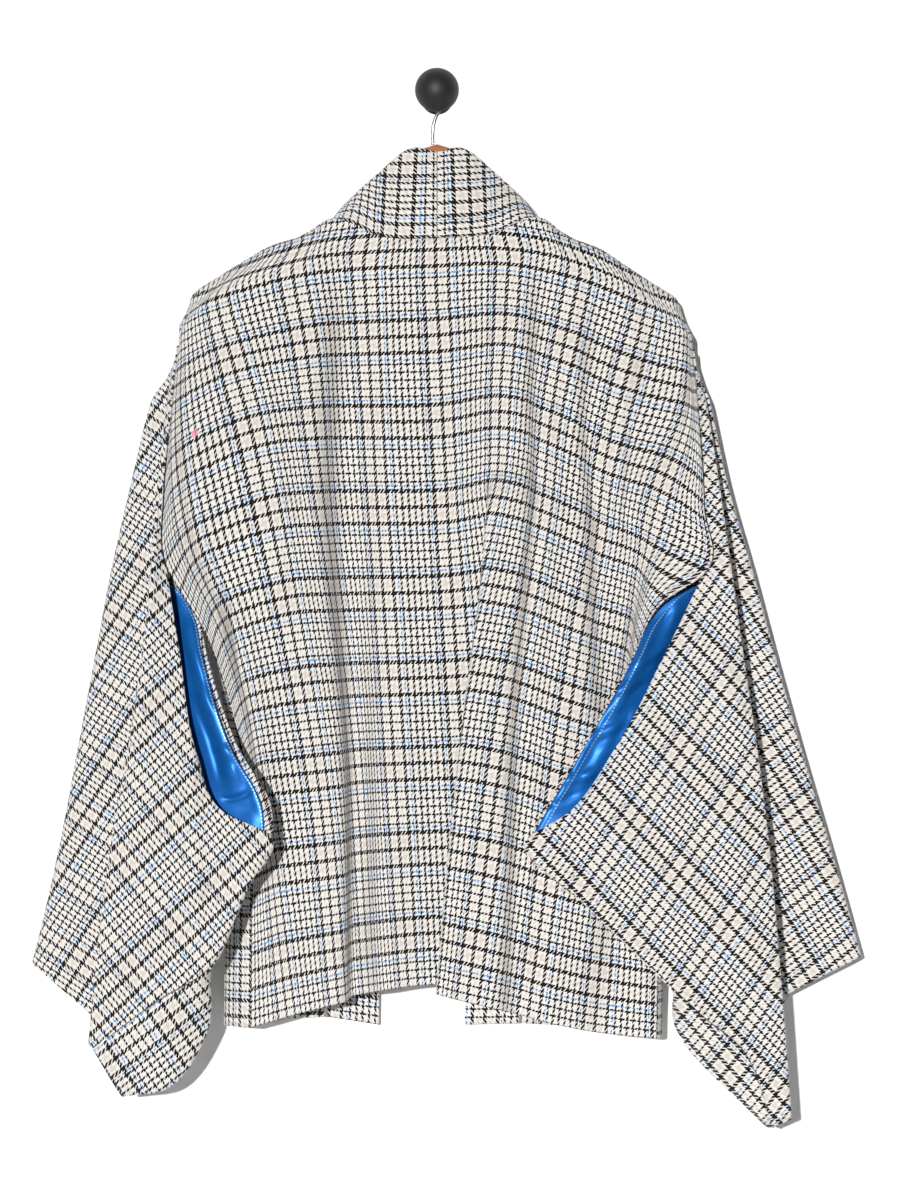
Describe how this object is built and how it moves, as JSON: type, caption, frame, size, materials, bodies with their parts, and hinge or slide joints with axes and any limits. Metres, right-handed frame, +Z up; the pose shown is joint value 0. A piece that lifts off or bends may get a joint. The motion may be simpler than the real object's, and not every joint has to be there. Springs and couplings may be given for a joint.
{
  "type": "kimono jacket on a wooden hanger and wall knob",
  "caption": "Wide-sleeved kimono jacket in checked wool, seen from the back, hung by a wooden hanger with a wire hook on a round black wall knob.",
  "frame": {"origin": "centre of the knob base's face on the wall", "axes": "+Y into the wall, the object at -Y with the back of the jacket towards -Y; +Z up; +X to the viewer's right"},
  "size_m": [0.7606, 0.1208, 0.9736],
  "materials": {
    "checked_wool": "woven wool in a small brown, black and pale blue glen check on off-white",
    "blue_satin": "glossy satin lining",
    "varnished_wood": "clear varnish",
    "chrome_wire": "polished",
    "black_lacquer": "matte black"
  },
  "bodies": {
    "root": {"back": "checked_wool", "front_left": "checked_wool", "front_right": "checked_wool", "collar_left": "checked_wool", "collar_right": "checked_wool", "sleeve_left": "checked_wool", "sleeve_right": "checked_wool", "lining_left": "blue_satin", "lining_right": "blue_satin", "hanger": "varnished_wood", "hanger_hook": "chrome_wire", "wall_knob": "black_lacquer"}
  },
  "joints": []
}
